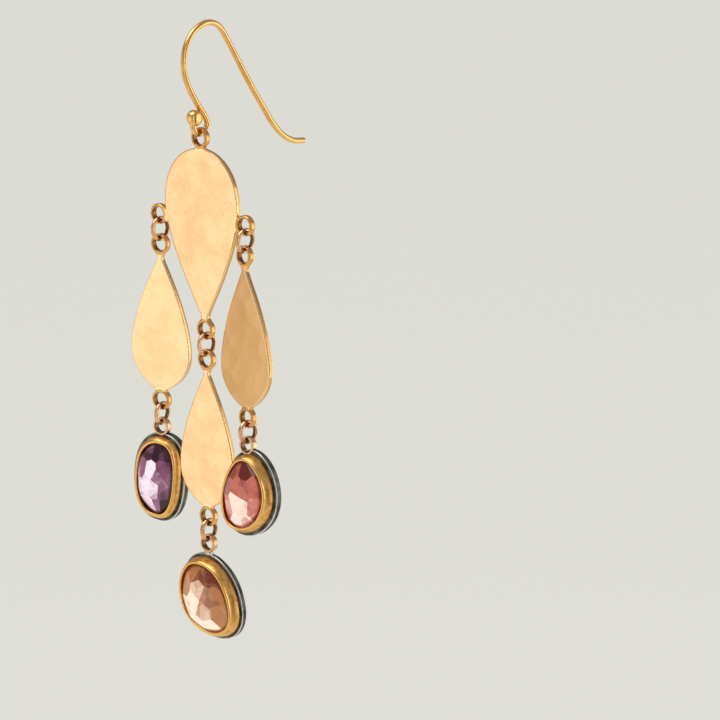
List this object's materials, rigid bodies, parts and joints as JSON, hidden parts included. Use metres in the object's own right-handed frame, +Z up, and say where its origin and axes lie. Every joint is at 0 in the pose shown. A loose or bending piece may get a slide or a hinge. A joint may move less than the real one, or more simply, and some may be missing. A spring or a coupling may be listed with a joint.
{
  "type": "chandelier earring",
  "caption": "Chandelier earring: a fish-hook ear wire, a pear-shaped gold plate and three arms of teardrop plates on jump rings, each ending in a rose-cut stone in a bezel.",
  "frame": {"origin": "underside of the ear wire's arch, where the wire rests in the ear", "axes": "+Z up, the plates and stones face -Y, the long leg of the ear wire runs back towards +Y"},
  "size_m": [0.0276, 0.0241, 0.0826],
  "materials": {
    "plate_gold": "softly planished satin gold",
    "link_gold": "polished pale rose gold",
    "bezel_gold": "satin high-karat gold with a burnished lip",
    "oxidised_silver": "blackened silver, edges worn bright",
    "mauve_stone": "faceted rose cut, mauve",
    "coral_stone": "faceted rose cut, coral pink",
    "champagne_stone": "faceted rose cut, champagne"
  },
  "bodies": {
    "ear_hook": {"ear_hook": "plate_gold"},
    "drop": {"main_plate": "plate_gold", "left_link_upper": "link_gold", "left_plate": "plate_gold", "left_link_lower": "link_gold", "left_setting": "bezel_gold", "left_stone": "mauve_stone", "right_link_upper": "link_gold", "right_plate": "plate_gold", "right_link_lower": "link_gold", "right_setting": "bezel_gold", "right_stone": "coral_stone", "center_link_upper": "link_gold", "center_plate": "plate_gold", "center_link_lower": "link_gold", "center_setting": "bezel_gold", "center_stone": "champagne_stone"}
  },
  "joints": [
    {"name": "drop_swing", "type": "hinge", "parent": "ear_hook", "child": "drop", "pos_m": [0, -0.0012, -0.01393], "axis": [0, 1, 0], "range_deg": [-40, 40]}
  ]
}
